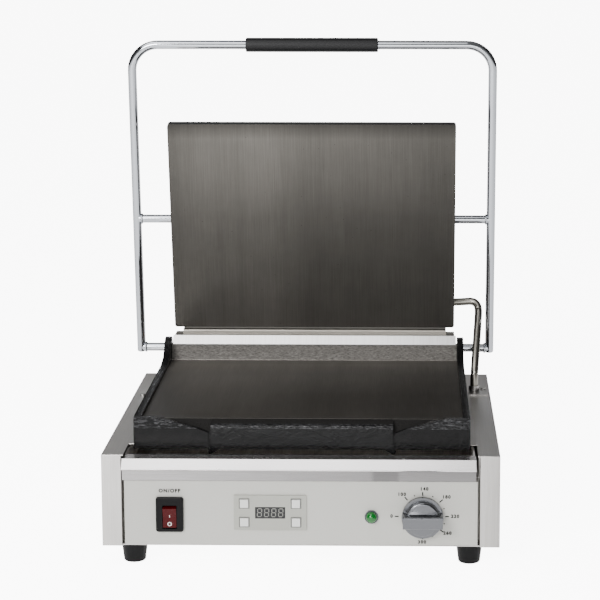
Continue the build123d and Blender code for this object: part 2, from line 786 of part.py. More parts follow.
# ---- rocker switch
bezel_proud = 4.0
with BuildPart() as switch_housing:
    block(
        switch_x - switch_width / 2, switch_x + switch_width / 2, panel_face - bezel_proud, panel_face,
        switch_z - switch_height / 2, switch_z + switch_height / 2,
    )
    fillet(switch_housing.edges().filter_by(Axis.Y), 2.5)
    fillet(switch_housing.faces().sort_by(Axis.Y)[0].edges(), 1.2)
    block(
        switch_x - switch_width / 2 + 2, switch_x + switch_width / 2 - 2, panel_face, panel_face + 26,
        switch_z - switch_height / 2 + 2, switch_z + switch_height / 2 - 2,
    )
    block(
        switch_x - rocker_width / 2 - 0.4, switch_x + rocker_width / 2 + 0.4,
        panel_face - bezel_proud - 1, panel_face + 10,
        switch_z - rocker_height / 2 - 0.4 - 2.5, switch_z + rocker_height / 2 + 0.4 - 2.5, Mode.SUBTRACT,
    )
    bar(
        (switch_x - rocker_width / 2 - 2, panel_face + 3, switch_z - 2.5), (1, 0, 0), 1.55,
        rocker_width + 4, Mode.SUBTRACT,
    )
    for dx in (-5, 0, 5):
        block(
            switch_x + dx - 0.4, switch_x + dx + 0.4, panel_face + 26, panel_face + 34,
            switch_z - 3, switch_z + 3,
        )
save(switch_housing, "switch_housing")

rocker_back = panel_face + 6
rocker_proud = panel_face - bezel_proud
rz = switch_z - 2.5
with BuildPart() as switch_rocker:
    with BuildSketch(Plane.YZ.offset(switch_x - rocker_width / 2)):
        with BuildLine():
            Polyline(
                (rocker_back, rz - 4), (rocker_back, rz + 4),
                (panel_face + 1, rz + rocker_height / 2 - 0.9),
                (rocker_proud - 2.0, rz + rocker_height / 2 - 2.5),
                (rocker_proud + 1.0, rz), (rocker_proud + 0.4, rz - rocker_height / 2 + 0.8),
                (panel_face + 3.5, rz - rocker_height / 2 + 0.6), (rocker_back, rz - 4),
            )
        make_face()
    extrude(amount=rocker_width)
    bar(
        (switch_x - rocker_width / 2 - 1.5, panel_face + 3, rz), (1, 0, 0), 1.5, rocker_width + 3
    )
save(switch_rocker, "switch_rocker")

# ---- timer: bezel, window, board and four buttons
bezel = 1.4
button_places = [
    (display_x + sx * button_dx, display_z + sz * button_dz) for sx in (-1, 1) for sz in (-1, 1)
]
with BuildPart() as display_bezel:
    block(
        display_x - display_width / 2, display_x + display_width / 2, panel_face - bezel, panel_face,
        display_z - display_height / 2, display_z + display_height / 2,
    )
    fillet(display_bezel.edges().filter_by(Axis.Y), 1.0)
    block(
        display_x - display_width / 2 + 3, display_x + display_width / 2 - 3, panel_face, panel_face + 8,
        display_z - display_height / 2 + 3, display_z + display_height / 2 - 3,
    )
    block(
        display_x - window_width / 2, display_x + window_width / 2, panel_face - bezel - 1,
        panel_face + 9, display_z - window_height / 2, display_z + window_height / 2, Mode.SUBTRACT,
    )
    for x, z in button_places:
        block(
            x - button_size / 2 - button_gap, x + button_size / 2 + button_gap,
            panel_face - bezel - 1, panel_face + 9,
            z - button_size / 2 - button_gap, z + button_size / 2 + button_gap, Mode.SUBTRACT,
        )
save(display_bezel, "display_bezel")

with BuildPart() as display_window:
    block(
        display_x - window_width / 2, display_x + window_width / 2, panel_face - bezel + 0.4,
        panel_face + 8, display_z - window_height / 2, display_z + window_height / 2,
    )
save(display_window, "display_window")

board_front = panel_face + 8
with BuildPart() as timer_board:
    block(
        display_x - display_width / 2 + 3, display_x + display_width / 2 - 3,
        board_front, board_front + 1.6,
        display_z - display_height / 2 + 3, display_z + display_height / 2 - 3,
    )
    block(display_x - 12, display_x + 12, board_front + 1.6, board_front + 10, display_z - 8, display_z + 8)
    block(display_x + 16, display_x + 28, board_front + 1.6, board_front + 12, display_z - 10, display_z + 10)
save(timer_board, "timer_board")

for number, (x, z) in enumerate(button_places, start=1):
    with BuildPart() as button:
        block(
            x - button_size / 2, x + button_size / 2, panel_face - bezel - 1.6,
            panel_face + 3, z - button_size / 2, z + button_size / 2,
        )
        fillet(button.faces().sort_by(Axis.Y)[0].edges(), 0.5)
        bar((x, panel_face + 3, z), (0, 1, 0), 1.8, 8 - 3 - button_travel - 0.3)
    save(button, f"timer_button_{number}")

# ---- pilot lamp
with BuildPart() as lamp_body:
    bar((lamp_x, panel_face - 1.6, lamp_z), (0, 1, 0), lamp_radius, 1.6)
    bar((lamp_x, panel_face, lamp_z), (0, 1, 0), lamp_barrel, 22)
    bar((lamp_x, panel_face - 2, lamp_z), (0, 1, 0), lamp_glass, 6, Mode.SUBTRACT)
save(lamp_body, "lamp_body")

with BuildPart() as lamp_lens:
    bar((lamp_x, panel_face - 2.4, lamp_z), (0, 1, 0), lamp_glass, 6.4)
    with Locations((lamp_x, panel_face - 2.4, lamp_z)):
        Sphere(lamp_glass)
save(lamp_lens, "lamp_lens")

# ---- thermostat and knob
with BuildPart() as thermostat_body:
    block(
        knob_x - 18, knob_x + 18, panel_face + sheet, panel_face + sheet + 24, knob_z - 20, knob_z + 20
    )
    bar((knob_x, panel_face - 1, knob_z), (0, 1, 0), knob_bush, sheet + 1)
    bar((knob_x, panel_face - 2, knob_z), (0, 1, 0), shaft_radius + running_gap, 20, Mode.SUBTRACT)
    bar((knob_x - 8, panel_face + sheet + 24, knob_z - 6), (0, 1, 0), 3, 10)
    bar((knob_x + 8, panel_face + sheet + 24, knob_z - 6), (0, 1, 0), 3, 10)
save(thermostat_body, "thermostat_body")

knob_back = panel_face - 1.5
with BuildPart() as thermostat_knob:
    bar((knob_x, knob_back - 5, knob_z), (0, 1, 0), knob_radius, 5)
    bar((knob_x, knob_back - 11, knob_z), (0, 1, 0), knob_radius - 3.5, 6)
    fillet(thermostat_knob.faces().sort_by(Axis.Y)[0].edges(), 2.5)
    block(
        knob_x - knob_radius + 1, knob_x + knob_radius - 1, knob_back - 21, knob_back - 3,
        knob_z - 7, knob_z + 6,
    )
    fillet(
        thermostat_knob.edges().filter_by(Axis.X).filter_by(
            lambda e: abs(e.center().Y - knob_back + 21) < 1
        ),
        2.0,
    )
    bar((knob_x, knob_back - 14, knob_z), (0, 1, 0), shaft_radius, 15, Mode.SUBTRACT)
save(thermostat_knob, "thermostat_knob")

with BuildPart() as knob_shaft:
    bar((knob_x, knob_back - 14, knob_z), (0, 1, 0), shaft_radius, 26)
save(knob_shaft, "knob_shaft")

# ---- terminal block and cable gland
with BuildPart() as terminal_block:
    block(gland_x - 22, gland_x + 22, rear - 60, rear - 40, base_bottom + sheet, base_bottom + 18)
    for n in range(4):
        with Locations((gland_x - 15 + 10 * n, rear - 50, base_bottom + 18)):
            Cylinder(3.0, 2.0, align=centre_low)
save(terminal_block, "terminal_block")

with BuildPart() as cable_gland:
    bar((gland_x, rear - 3 * sheet - 6, gland_z), (0, 1, 0), gland_radius * 0.7, 6 + 2 * sheet)
    bar((gland_x, rear - 2 * sheet - 4, gland_z), (0, 1, 0), gland_radius, 4)
    bar((gland_x, rear - sheet, gland_z), (0, 1, 0), gland_radius, 5)
    bar((gland_x, rear - sheet + 5, gland_z), (0, 1, 0), gland_radius - 1.5, gland_length - 5)
    bar((gland_x, rear - 20, gland_z), (0, 1, 0), gland_bore, 50, Mode.SUBTRACT)
save(cable_gland, "cable_gland")

print(
    "pivot", tuple(pivot), "cross", tuple(cross_centre), "bar", tuple(bar_centre),
    "lean", degrees(plate_lean), "closing turn", 90 - degrees(plate_lean),
)
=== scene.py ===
# %% [markdown]
# # A contact grill in a plain studio
# The grill is a boxy stainless base with a painted control panel, a cast iron cooking plate,
# and a second cast plate that hangs in a tall chromed frame. Its solids come ready-made as a
# fixed frame, so this lesson gives them their finishes and adds the printed and bent pieces.

# %% Load the frame
from math import cos, pi, radians, sin

import bmesh
import bpy
import numpy as np
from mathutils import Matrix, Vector


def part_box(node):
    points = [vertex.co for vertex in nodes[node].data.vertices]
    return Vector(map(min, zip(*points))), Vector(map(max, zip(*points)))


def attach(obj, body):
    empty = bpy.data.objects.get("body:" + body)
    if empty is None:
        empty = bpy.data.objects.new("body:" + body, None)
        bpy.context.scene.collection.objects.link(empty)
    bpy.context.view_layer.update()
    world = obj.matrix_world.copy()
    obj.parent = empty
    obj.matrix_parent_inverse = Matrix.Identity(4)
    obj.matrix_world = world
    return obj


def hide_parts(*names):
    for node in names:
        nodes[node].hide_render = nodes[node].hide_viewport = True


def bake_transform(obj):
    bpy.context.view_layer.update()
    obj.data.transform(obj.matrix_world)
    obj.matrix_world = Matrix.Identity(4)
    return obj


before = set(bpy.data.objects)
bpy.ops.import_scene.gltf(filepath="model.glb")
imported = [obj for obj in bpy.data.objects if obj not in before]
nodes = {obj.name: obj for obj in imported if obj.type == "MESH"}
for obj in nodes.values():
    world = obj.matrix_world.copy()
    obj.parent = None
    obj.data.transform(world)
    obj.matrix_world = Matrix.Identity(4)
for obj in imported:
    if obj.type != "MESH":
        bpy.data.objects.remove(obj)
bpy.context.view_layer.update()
MM = 0.001
print("frame loaded:", len(nodes), "nodes")

# %% [markdown]
# ## Colours
# Paint charts and swatches are read in sRGB, and the renderer works in linear light. One
# function turns a hex swatch into the linear values that every material below uses.


# %% Swatches
def linear(swatch):
    """Linear RGBA of an sRGB hex swatch: low values are divided by 12.92, and the rest are a power
    of 2.4."""
    values = np.array([int(swatch[i:i + 2], 16) for i in (1, 3, 5)]) / 255
    straight = np.where(values <= 0.04045, values / 12.92, ((values + 0.055) / 1.055) ** 2.4)
    return (*map(float, straight), 1.0)


# %% [markdown]
# ## One helper for nodes
# A material is a small graph. Rather than a function for each kind of node, a single one adds a
# node, sets its fields and colour stops, fills or links its sockets, and hands it back.


# %% The node helper
TINT = {"data_type": "RGBA", "blend_type": "MULTIPLY"}
BLEND = {"data_type": "RGBA"}


def add_node(tree, kind, fields=None, stops=(), **sockets):
    """Adds one node. fields are its own settings, and stops a colour ramp's places and tones.
    sockets are values, or outputs to link; n0, n1 and so on name a socket by its number."""
    made = tree.nodes.new(kind)
    for name, value in (fields or {}).items():
        setattr(made, name, value)
    if stops:
        points = made.color_ramp.elements
        while len(points) < len(stops):
            points.new(0.5)
        for point, (where, tone) in zip(points, stops):
            point.position = where
            point.color = linear(tone) if isinstance(tone, str) else (tone, tone, tone, 1.0)
    for name, value in sockets.items():
        numbered = name[0] == "n" and name[1:].isdigit()
        entry = made.inputs[int(name[1:]) if numbered else name.replace("_", " ")]
        if isinstance(value, bpy.types.NodeSocket):
            tree.links.new(value, entry)
        else:
            entry.default_value = value
    return made


def new_finish(name):
    """An empty node material: its tree, its shader and the piece's Object coordinates."""
    finish = bpy.data.materials.new(name)
    finish.use_nodes = True
    tree = finish.node_tree
    shader = tree.nodes["Principled BSDF"]
    place = add_node(tree, "ShaderNodeTexCoord").outputs["Object"]
    return finish, tree, shader, place


print("helpers ready")

# %% [markdown]
# ## Where on the piece
# A real finish changes from place to place: it is ground here and raw there, and painted shade
# and highlights lie on it in places. Two patterns on a piece's own coordinates say where, a box and a run of
# tones.


# %% Places
def inside_box(tree, place, **spans):
    """1 inside a box and 0 outside: along each named axis the place is compared with the middle
    of its span, and the answers are multiplied."""
    xyz = add_node(tree, "ShaderNodeSeparateXYZ", n0=place)
    mask = 1.0
    for axis, (low, high) in spans.items():
        within = add_node(
            tree, "ShaderNodeMath", {"operation": "COMPARE"},
            n0=xyz.outputs[axis.upper()], n1=(low + high) / 2, n2=(high - low) / 2,
        ).outputs[0]
        mask = add_node(tree, "ShaderNodeMath", {"operation": "MULTIPLY"}, n0=mask, n1=within).outputs[0]
    return mask


def tones_along(tree, place, axis, low, high, stops):
    """Grey tones laid along an axis: each stop's place is its share of the way from low to high."""
    xyz = add_node(tree, "ShaderNodeSeparateXYZ", n0=place)
    share = add_node(
        tree, "ShaderNodeMapRange", Value=xyz.outputs[axis.upper()], From_Min=low, From_Max=high,
    ).outputs[0]
    return add_node(tree, "ShaderNodeValToRGB", stops=stops, Fac=share).outputs["Color"]


print("two patterns of place ready")

# %% [markdown]
# ## Brushed stainless steel
# The case is grade 304 sheet, polished with a belt, so it carries fine parallel scratches that
# stretch its reflections. Noise squeezed hard along one axis gives the scratches, and it moves
# the roughness and a faint bump. A belt leaves lines about 0.3 mm apart, drawn here near 0.8 mm
# so that they still show.


# %% Brushed sheet
SCRATCH_STRETCH = 60


def brushed_steel(name, dark, light, across, roughness=0.3, line_mm=0.8, shade=None, metal=1.0):
    """Stainless sheet: the noise turns over once in line_mm along the axes named in across, and
    SCRATCH_STRETCH times more slowly along the rest. shade gives a further tone to multiply by."""
    finish, tree, shader, place = new_finish(name)
    fine = 1.0 / (line_mm * MM)
    scale = [fine if axis in across else fine / SCRATCH_STRETCH for axis in "xyz"]
    lines_at = add_node(tree, "ShaderNodeMapping", Vector=place, Scale=scale).outputs[0]
    lines = add_node(
        tree, "ShaderNodeTexNoise", Vector=lines_at, Scale=1.0, Detail=3.0, Roughness=0.6,
    ).outputs["Fac"]
    broad = add_node(tree, "ShaderNodeTexNoise", Vector=place, Scale=9.0, Detail=2.0).outputs["Fac"]
    tone = add_node(
        tree, "ShaderNodeValToRGB", stops=((0.3, dark), (0.7, light)), Fac=lines,
    ).outputs["Color"]
    cloud = add_node(
        tree, "ShaderNodeValToRGB", stops=((0.3, 0.88), (0.7, 1.0)), Fac=broad,
    ).outputs["Color"]
    colour = add_node(tree, "ShaderNodeMix", TINT, n0=1.0, n6=tone, n7=cloud).outputs[2]
    if shade:
        colour = add_node(
            tree, "ShaderNodeMix", TINT, n0=1.0, n6=colour, n7=shade(tree, place),
        ).outputs[2]
    tree.links.new(colour, shader.inputs["Base Color"])
    rough = add_node(
        tree, "ShaderNodeMapRange", Value=lines, To_Min=roughness - 0.06, To_Max=roughness + 0.1,
    )
    tree.links.new(rough.outputs[0], shader.inputs["Roughness"])
    bump = add_node(tree, "ShaderNodeBump", Strength=0.12, Distance=0.0001, Height=lines)
    tree.links.new(bump.outputs[0], shader.inputs["Normal"])
    shader.inputs["Metallic"].default_value = metal
    return finish


# %% Shading on the case and the drawer
case_half = 0.205
drawer_half = 0.19
under_lip = (0.080, 0.1032)


def painted_apron_reflection(tree, place):
    """Painted reflection under the drawer's lip: a grey band, dimmer to the right with a darker patch, and 1
    above it.
    """
    tone = tones_along(
        tree, place, "x", -drawer_half, drawer_half,
        ((0.0, 0.5), (0.35, 0.42), (0.69, 0.3), (0.7, 0.2), (0.76, 0.2), (0.77, 0.28), (1.0, 0.26)),
    )
    low = inside_box(tree, place, z=under_lip)
    return add_node(tree, "ShaderNodeMix", BLEND, n0=low, n6=(1, 1, 1, 1), n7=tone).outputs[2]


def painted_side_shade(tree, place):
    """Painted shade: the case dims from left to right as if lit from the left, with a painted highlight near
    the right edge.
    """
    return tones_along(
        tree, place, "x", -case_half, case_half,
        ((0.0, 0.95), (0.1, 0.8), (0.9, 0.62), (0.95, 0.78), (1.0, 0.62)),
    )


# the case sheet carries painted shade, darker to the right, with a painted highlight near the right edge
brushed_case = brushed_steel("brushed_304_case", "#cdcac6", "#dedbd8", "x", shade=painted_side_shade)
# the drawer front carries a painted reflection band under its lip
brushed_front = brushed_steel("brushed_304_drawer", "#dcd8d8", "#ebe8e8", "z", 0.24, shade=painted_apron_reflection)
brushed_wide = brushed_steel("brushed_304_deflector", "#f0eeee", "#ffffff", "x", line_mm=3.0)
brushed_housing = brushed_steel("brushed_304_housing", "#8a867e", "#a09b93", "yz", 0.42)
bright_sheet = brushed_steel("bright_inner_sheet", "#d0cecb", "#e8e5e2", "x", 0.5, metal=0.5)
plain_zinc = brushed_steel("zinc_plated_steel", "#a9a9a6", "#c4c4c0", "yz", 0.35)
dark_element = brushed_steel("heated_incoloy_sheath", "#3a352f", "#57504a", "xz", 0.5)
print("brushed steels made")

# %% [markdown]
# ## Cast iron, ground and raw
# Both cooking plates are grey iron castings. The cooking faces are surface ground and then
# seasoned: dark warm grey with faint straight grinding lines, soft clouds and a few open pores,
# with painted shade and reflection that darken them across the face. The outside keeps its
# sand-cast skin under a black stove enamel, glossy and pebbled, with painted highlight streaks
# along the front edge. The finishes share one graph, and the place on the casting chooses between them.


# %% Cast iron
GRIND, ALONG_GRIND = 1400.0, 18.0
WIDE_BANDS = 28


def iron(
    name, ground_mask, tones, bare_mask=None, dark_slope_mask=None, streak_mask=None, painted_shade=None, line_axis=1,
):
    """Ground iron where ground_mask is 1, bare cast skin where bare_mask is 1, unground iron painted
    near black with painted shade where the dark slope mask is 1, and black enamel elsewhere, with
    painted highlight streaks where the streak mask is 1. The painted shade tones darken the ground face.
    The grinding noise turns over GRIND times a metre across its lines and ALONG_GRIND times along them."""
    finish, tree, shader, place = new_finish(name)
    stretch = [GRIND, GRIND, GRIND]
    stretch[line_axis] = ALONG_GRIND
    if line_axis == 2:  # the hanging face leans, so its lines run back in Y as they rise in Z
        stretch[1] = ALONG_GRIND
    lines_at = add_node(tree, "ShaderNodeMapping", Vector=place, Scale=stretch).outputs[0]
    lines = add_node(
        tree, "ShaderNodeTexNoise", Vector=lines_at, Scale=1.0, Detail=4.0, Roughness=0.65,
    ).outputs["Fac"]
    wide_at = add_node(
        tree, "ShaderNodeMapping", Vector=place, Scale=[cycles / WIDE_BANDS for cycles in stretch],
    ).outputs[0]
    wide = add_node(tree, "ShaderNodeTexNoise", Vector=wide_at, Scale=1.0, Detail=3.0).outputs["Fac"]
    clouds = add_node(
        tree, "ShaderNodeTexNoise", Vector=place, Scale=9.0, Detail=6.0, Roughness=0.62,
    ).outputs["Fac"]
    pores = add_node(tree, "ShaderNodeTexVoronoi", Vector=place, Scale=95.0).outputs["Distance"]
    ground = add_node(
        tree, "ShaderNodeValToRGB", stops=((0.25, tones[0]), (0.75, tones[1])), Fac=lines,
    ).outputs["Color"]
    layers = [
        add_node(tree, "ShaderNodeValToRGB", stops=stops, Fac=pattern).outputs["Color"]
        for pattern, stops in (
            (wide, ((0.3, 0.88), (0.7, 1.0))),
            (clouds, ((0.3, 0.8), (0.7, 1.0))),
            (pores, ((0.03, 0.45), (0.05, 1.0))),
        )
    ]
    # painted shade and reflection: the painted shade tones darken the ground face
    for layer in (*layers, *(painted_shade(tree, place) if painted_shade else ())):
        ground = add_node(tree, "ShaderNodeMix", TINT, n0=1.0, n6=ground, n7=layer).outputs[2]
    pebble = add_node(
        tree, "ShaderNodeTexNoise", Vector=place, Scale=420.0, Detail=4.0, Roughness=0.6,
    ).outputs["Fac"]
    lumps = add_node(tree, "ShaderNodeTexNoise", Vector=place, Scale=110.0, Detail=3.0).outputs["Fac"]
    enamel = add_node(
        tree, "ShaderNodeValToRGB", stops=((0.35, "#010101"), (0.7, "#060607")), Fac=pebble,
    ).outputs["Color"]
    # painted highlight: pale streaks along the enamel's upper front band
    if streak_mask:
        streak_at = add_node(
            tree, "ShaderNodeMapping", Vector=place, Scale=(160.0, 800.0, 800.0),
        ).outputs[0]
        streak_noise = add_node(
            tree, "ShaderNodeTexNoise", Vector=streak_at, Scale=1.0, Detail=5.0, Roughness=0.75,
        ).outputs["Fac"]
        streak_tone = add_node(
            tree, "ShaderNodeValToRGB", stops=((0.5, "#050506"), (0.74, "#5c5c5e")), Fac=streak_noise,
        ).outputs["Color"]
        enamel = add_node(
            tree, "ShaderNodeMix", BLEND, n0=streak_mask(tree, place), n6=enamel, n7=streak_tone,
        ).outputs[2]
    skin_at = add_node(tree, "ShaderNodeMapping", Vector=place, Scale=(260.0, 700.0, 900.0)).outputs[0]
    grit = add_node(
        tree, "ShaderNodeTexNoise", Vector=skin_at, Scale=1.0, Detail=4.0, Roughness=0.7,
    ).outputs["Fac"]
    bare = add_node(
        tree, "ShaderNodeValToRGB", stops=((0.3, "#484643"), (0.7, "#7e7b77")), Fac=grit,
    ).outputs["Color"]
    is_ground = ground_mask(tree, place)
    is_bare = bare_mask(tree, place) if bare_mask else 0.0
    skin = add_node(tree, "ShaderNodeMix", BLEND, n0=is_bare, n6=enamel, n7=bare).outputs[2]
    colour = add_node(tree, "ShaderNodeMix", BLEND, n0=is_ground, n6=skin, n7=ground).outputs[2]
    ground_rough = add_node(tree, "ShaderNodeMapRange", Value=clouds, To_Min=0.36, To_Max=0.5).outputs[0]
    bare_rough = add_node(tree, "ShaderNodeMix", n0=is_bare, n2=0.26, n3=0.6).outputs[0]
    rough = add_node(tree, "ShaderNodeMix", n0=is_ground, n2=bare_rough, n3=ground_rough).outputs[0]
    # painted shade: the slope and the recess behind the horns are made near black and dull
    if dark_slope_mask:
        in_dark_slope = dark_slope_mask(tree, place)
        colour = add_node(
            tree, "ShaderNodeMix", BLEND, n0=in_dark_slope, n6=colour, n7=linear("#161514"),
        ).outputs[2]
        rough = add_node(tree, "ShaderNodeMix", n0=in_dark_slope, n2=rough, n3=0.85).outputs[0]
    tree.links.new(colour, shader.inputs["Base Color"])
    tree.links.new(rough, shader.inputs["Roughness"])
    shader.inputs["Specular IOR Level"].default_value = 0.16
    shine = add_node(tree, "ShaderNodeMix", n0=is_bare, n2=0.0, n3=0.7).outputs[0]
    metal = add_node(tree, "ShaderNodeMix", n0=is_ground, n2=shine, n3=0.9).outputs[0]
    tree.links.new(metal, shader.inputs["Metallic"])
    fine = add_node(tree, "ShaderNodeBump", Strength=0.1, Distance=0.0001, Height=lines).outputs[0]
    rugged = add_node(tree, "ShaderNodeBump", Strength=0.7, Distance=0.0009, Height=pebble).outputs[0]
    lumpy = add_node(
        tree, "ShaderNodeBump", Strength=0.5, Distance=0.0016, Height=lumps, Normal=rugged,
    ).outputs[0]
    normal = add_node(
        tree, "ShaderNodeMix", {"data_type": "VECTOR"}, n0=is_ground, n4=lumpy, n5=fine,
    ).outputs[1]
    tree.links.new(normal, shader.inputs["Normal"])
    return finish


# %% Places on the lower casting
lower_low, lower_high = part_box("lower_plate")
surface_z = 0.145
rim, rim_at_wall = 0.0076, 0.0077
face_front, face_back = -0.1362, 0.1246
between_rims = (lower_low[0] + rim, lower_high[0] - rim)
print("lower plate", lower_low, lower_high)


def cooking_face(tree, place):
    """The lower plate's ground face: a thin slice of height, inside the rims."""
    slice_z = (surface_z - 0.0003, surface_z + 0.0006)
    return inside_box(tree, place, x=between_rims, y=(face_front, face_back), z=slice_z)


def back_wall(tree, place):
    """The bare front of the rear wall: above the face, inside the ears."""
    between_ears = (lower_low[0] + rim_at_wall, lower_high[0] - rim_at_wall)
    return inside_box(tree, place, x=between_ears, y=(0.1200, 0.1400), z=(surface_z + 0.0004, 0.170))


def dark_slope_shade(tree, place):
    """The unground slope down to the spout and the recess behind the horns, painted near black for the shade
    and dark reflection there: below the face, behind the front.
    """
    drop_z = (surface_z - 0.0170, surface_z - 0.0003)
    return inside_box(tree, place, x=between_rims, y=(-0.1378, -0.1270), z=drop_z)


def painted_edge_highlight(tree, place):
    """Painted highlight: pale streaks along the upper band of the horns and the spout's top edge."""
    return inside_box(tree, place, y=(-0.1430, face_front), z=(surface_z - 0.0075, surface_z + 0.0046))


def lower_painted_shade(tree, place):
    """Painted shade and reflection: the face is palest by the rear wall and darkens forward, and a little to
    the right.
    """
    depth = ((0.0, 0.44), (0.4, 0.5), (0.75, 0.72), (0.92, 1.1), (1.0, 0.95))
    side = ((0.0, 0.9), (0.12, 1.0), (1.0, 0.72))
    return (
        tones_along(tree, place, "y", -0.136, 0.1245, depth),
        tones_along(tree, place, "x", -0.1675, 0.1675, side),
    )


lower_iron = iron(
    "ground_and_enamelled_iron", cooking_face, ("#7b7773", "#918d88"),
    back_wall, dark_slope_shade, painted_edge_highlight, lower_painted_shade,
)

# %% [markdown]
# The upper casting leans forward, so its ground face is found by its distance out of the
# hinge rod along the face's own direction.

# %% The upper casting
lean = radians(11.2046)
hang = np.array([0.0, 0.130057, 0.312481])  # the middle of the cross rod
out_of_face = np.array([0.0, -cos(lean), -sin(lean)])
face_reach, face_skin = 0.022, 0.0006


def upper_face(tree, place):
    """1 within face_skin of the upper plate's face, face_reach out of the rod along its own direction."""
    reach = add_node(
        tree, "ShaderNodeVectorMath", {"operation": "DOT_PRODUCT"}, n0=place, n1=tuple(out_of_face),
    ).outputs["Value"]
    face = float(hang @ out_of_face) + face_reach
    return add_node(
        tree, "ShaderNodeMath", {"operation": "COMPARE"}, n0=reach, n1=face, n2=face_skin,
    ).outputs[0]


def upper_painted_shade(tree, place):
    """Painted shade and reflection: the hanging face is palest just under its top edge and darkens down and
    to the right.
    """
    rise = ((0.0, 0.62), (0.3, 0.56), (0.55, 0.56), (0.8, 0.74), (0.93, 0.84), (1.0, 0.4))
    side = ((0.0, 0.7), (0.12, 0.95), (0.3, 1.0), (0.5, 0.8), (1.0, 0.58))
    return (
        tones_along(tree, place, "z", 0.182, 0.429, rise),
        tones_along(tree, place, "x", -0.1645, 0.1645, side),
    )


upper_iron = iron("ground_iron_upper", upper_face, ("#686560", "#787570"), painted_shade=upper_painted_shade, line_axis=2)
print("iron made")

# %% [markdown]
# ## Chrome, aluminium and zinc
# The handle frame is mild steel rod with bright chromium plate: almost a mirror, a little cool.
# The conduit is drawn aluminium, left dull. The knob is moulded and vacuum metallised, so it is
# bright but softer than chrome.


# %% Plain metals
def plain_metal(name, swatch, roughness, wave_mm=6.0, wobble=0.04):
    """A smooth metal whose roughness drifts with soft noise, one cloud per wave_mm."""
    finish, tree, shader, place = new_finish(name)
    clouds = add_node(tree, "ShaderNodeTexNoise", Vector=place, Scale=1 / (wave_mm * MM), Detail=3.0)
    rough = add_node(
        tree, "ShaderNodeMapRange", Value=clouds.outputs["Fac"],
        To_Min=max(0.02, roughness - wobble), To_Max=roughness + wobble,
    )
    tree.links.new(rough.outputs[0], shader.inputs["Roughness"])
    shader.inputs["Base Color"].default_value = linear(swatch)
    shader.inputs["Metallic"].default_value = 1.0
    return finish


chrome = plain_metal("bright_chromium_plate", "#aeb1b6", 0.06)
ring_chrome = plain_metal("dark_chromed_ring", "#4a4d50", 0.2)
conduit_metal = plain_metal("drawn_aluminium", "#87847d", 0.3, wobble=0.06)
knob_metal = plain_metal("metallised_knob", "#66676a", 0.25)
bronze = plain_metal("sintered_bronze", "#b08a55", 0.4)
spring_metal = plain_metal("oiled_spring_steel", "#4a4a4c", 0.35)
shaft_metal = plain_metal("turned_steel", "#b5b5b5", 0.3)

# %% [markdown]
# ## Plastics, paint and rubber
# The control panel is powder coated in a pale warm grey with a very fine orange peel. The grip
# is matt black phenolic, the switch is glossy black nylon, and the feet are moulded rubber.


# %% Coated and moulded pieces
def moulded(name, swatch, roughness, grain_mm=0.5, strength=0.12, coat=0.0, glow=None, shine=0.5):
    """Paint, plastic or rubber: one colour with a slight mottle and a grain of grain_mm in its bump."""
    finish, tree, shader, place = new_finish(name)
    grain = add_node(tree, "ShaderNodeTexNoise", Vector=place, Scale=1 / (grain_mm * MM), Detail=3.0)
    mottle = add_node(
        tree, "ShaderNodeValToRGB", stops=((0.3, 0.93), (0.7, 1.0)), Fac=grain.outputs["Fac"],
    ).outputs["Color"]
    mixed = add_node(tree, "ShaderNodeMix", TINT, n0=1.0, n6=linear(swatch), n7=mottle)
    tree.links.new(mixed.outputs[2], shader.inputs["Base Color"])
    bump = add_node(tree, "ShaderNodeBump", Strength=strength, Distance=0.0002, Height=grain.outputs["Fac"])
    tree.links.new(bump.outputs[0], shader.inputs["Normal"])
    shader.inputs["Roughness"].default_value = roughness
    shader.inputs["Coat Weight"].default_value = coat
    shader.inputs["Specular IOR Level"].default_value = shine
    if glow:
        shader.inputs["Emission Color"].default_value = linear(swatch)
        shader.inputs["Emission Strength"].default_value = glow
    return finish


panel_paint = moulded("powder_coat_pale_grey", "#b3b2ac", 0.5, grain_mm=1.1, strength=0.08)
plate_print = moulded("printed_grey_film", "#9b9b93", 0.45)
grip_black = moulded("phenolic_black", "#08080a", 0.45, grain_mm=0.7, strength=0.2, shine=0.25)
foot_rubber = moulded("moulded_rubber", "#060607", 0.5, grain_mm=0.9, strength=0.25, shine=0.15)
switch_black = moulded("glossy_nylon_black", "#030304", 0.3, shine=0.15)
# painted glow: a faint emission brightens the red cap
rocker_red = moulded("red_cap_painted_glow", "#3d0205", 0.3, glow=0.07, shine=0.15)
window_dark = moulded("smoked_window", "#242425", 0.35, shine=0.3)
button_white = moulded("button_white", "#d2d2ce", 0.45)
board_green = moulded("board_green", "#1d5a32", 0.4)
black_plastic = moulded("black_housing", "#141416", 0.5)
white_ceramic = moulded("glazed_steatite", "#d9d7cf", 0.3)
lamp_green = moulded(
    "green_lamp_glass", "#025a1a", 0.12, grain_mm=1.8, strength=0.9, coat=0.2, glow=0.12, shine=0.4,
)
ink_dark = moulded("panel_ink_dark", "#020202", 0.9, shine=0.0)
ink_white = moulded("panel_ink_white", "#e6e6e2", 0.6)
segment_grey = moulded("unlit_segments", "#7e7e78", 0.5)
outline_grey = moulded("outline_grey", "#5d5d5a", 0.5)
print("plastics made")

# %% [markdown]
# ## Finishes onto the frame
# Each ready-made solid takes the finish of the real piece.

